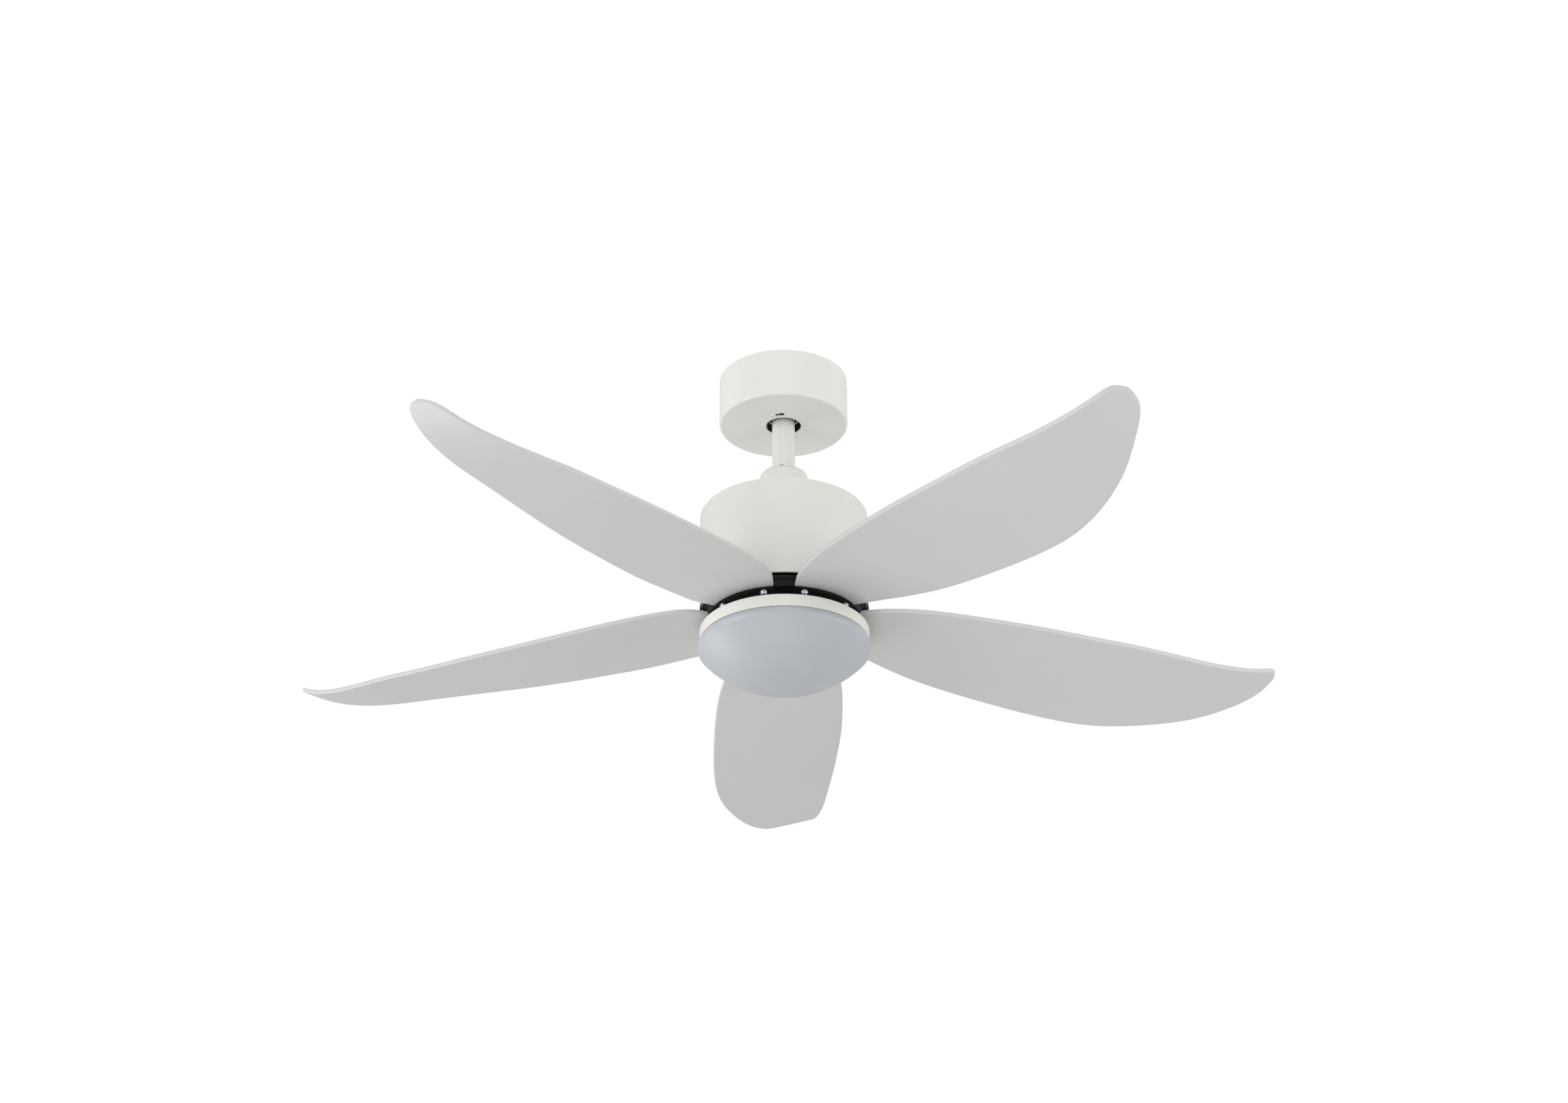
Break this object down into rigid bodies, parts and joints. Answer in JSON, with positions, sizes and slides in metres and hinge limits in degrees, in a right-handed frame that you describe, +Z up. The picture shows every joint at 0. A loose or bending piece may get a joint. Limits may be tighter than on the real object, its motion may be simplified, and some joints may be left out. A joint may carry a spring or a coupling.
{
  "type": "ceiling fan with light",
  "caption": "Ceiling fan with paddle-shaped white blades, a drum motor housing on a short ball-hung downrod, and a shallow opal dome light beneath.",
  "frame": {"origin": "centre of the ceiling plane, where the hanger plate and the canopy's rim meet the ceiling", "axes": "+Z up into the ceiling along the downrod at rest; +X along the line of the two slots in the hanger plate; the fan hangs below the origin"},
  "size_m": [1.1609, 1.1137, 0.3995],
  "materials": {
    "white_paint": "satin",
    "blade_plastic": "fine satin grain",
    "black_plastic": "moulded satin",
    "black_steel": "black satin paint",
    "black_cast": "satin black",
    "zinc_plate": "zinc plated",
    "chrome_screw": "bright plated",
    "cast_metal": "as cast",
    "copper": "enamelled wire",
    "board_plastic": "board and moulded parts",
    "led_yellow": "phosphor",
    "opal_lens": "opal, satin"
  },
  "bodies": {
    "ceiling": {"hanger_bracket": "black_steel", "canopy": "white_paint", "canopy_screws": "zinc_plate", "terminal_block": "board_plastic"},
    "ball_seat": {"seat_liner": "black_plastic"},
    "hanging": {"hanger_ball": "black_plastic", "ball_pin": "zinc_plate", "downrod": "white_paint", "coupling": "cast_metal", "coupling_pin": "zinc_plate", "pin_clip": "zinc_plate", "set_screws": "zinc_plate", "coupling_cover": "white_paint", "motor_housing": "white_paint", "housing_screws": "zinc_plate", "motor_shaft": "zinc_plate", "stator_sleeve": "black_plastic", "stator_core": "cast_metal", "stator_windings": "copper", "motor_driver_board": "board_plastic", "board_spacers": "board_plastic", "board_screws": "zinc_plate", "lower_bearing_inner": "zinc_plate", "upper_bearing_inner": "zinc_plate", "light_spacer": "zinc_plate", "light_pan": "white_paint", "shaft_nut": "zinc_plate", "led_driver": "board_plastic", "led_board": "board_plastic", "leds": "led_yellow", "led_board_posts": "board_plastic", "led_board_screws": "zinc_plate"},
    "rotor": {"rotor_lower_cover": "black_cast", "rotor_upper_cover": "black_cast", "rotor_magnets": "cast_metal", "rotor_screws": "zinc_plate", "lower_bearing_outer": "zinc_plate", "upper_bearing_outer": "zinc_plate", "bearing_balls": "zinc_plate", "holder_washers": "chrome_screw", "holder_screws": "chrome_screw", "blade_screws": "zinc_plate", "blade_1": "blade_plastic", "blade_2": "blade_plastic", "blade_3": "blade_plastic", "blade_4": "blade_plastic", "blade_5": "blade_plastic", "blade_holder_1": "black_plastic", "blade_holder_2": "black_plastic", "blade_holder_3": "black_plastic", "blade_holder_4": "black_plastic", "blade_holder_5": "black_plastic"},
    "lens": {"lens": "opal_lens"}
  },
  "joints": [
    {"name": "ball_tilt_x", "type": "hinge", "parent": "ceiling", "child": "ball_seat", "pos_m": [0, 0, -0.034], "axis": [1, 0, 0], "range_deg": [-9, 9]},
    {"name": "ball_tilt_y", "type": "hinge", "parent": "ball_seat", "child": "hanging", "pos_m": [0, 0, -0.034], "axis": [0, 1, 0], "range_deg": [-9, 9]},
    {"name": "fan_spin", "type": "hinge", "parent": "hanging", "child": "rotor", "pos_m": [0, 0, -0.3], "axis": [0, 0, 1], "continuous": true},
    {"name": "lens_twist", "type": "hinge", "parent": "hanging", "child": "lens", "pos_m": [0, 0, -0.345], "axis": [0, 0, 1], "range_deg": [0, 20]}
  ]
}
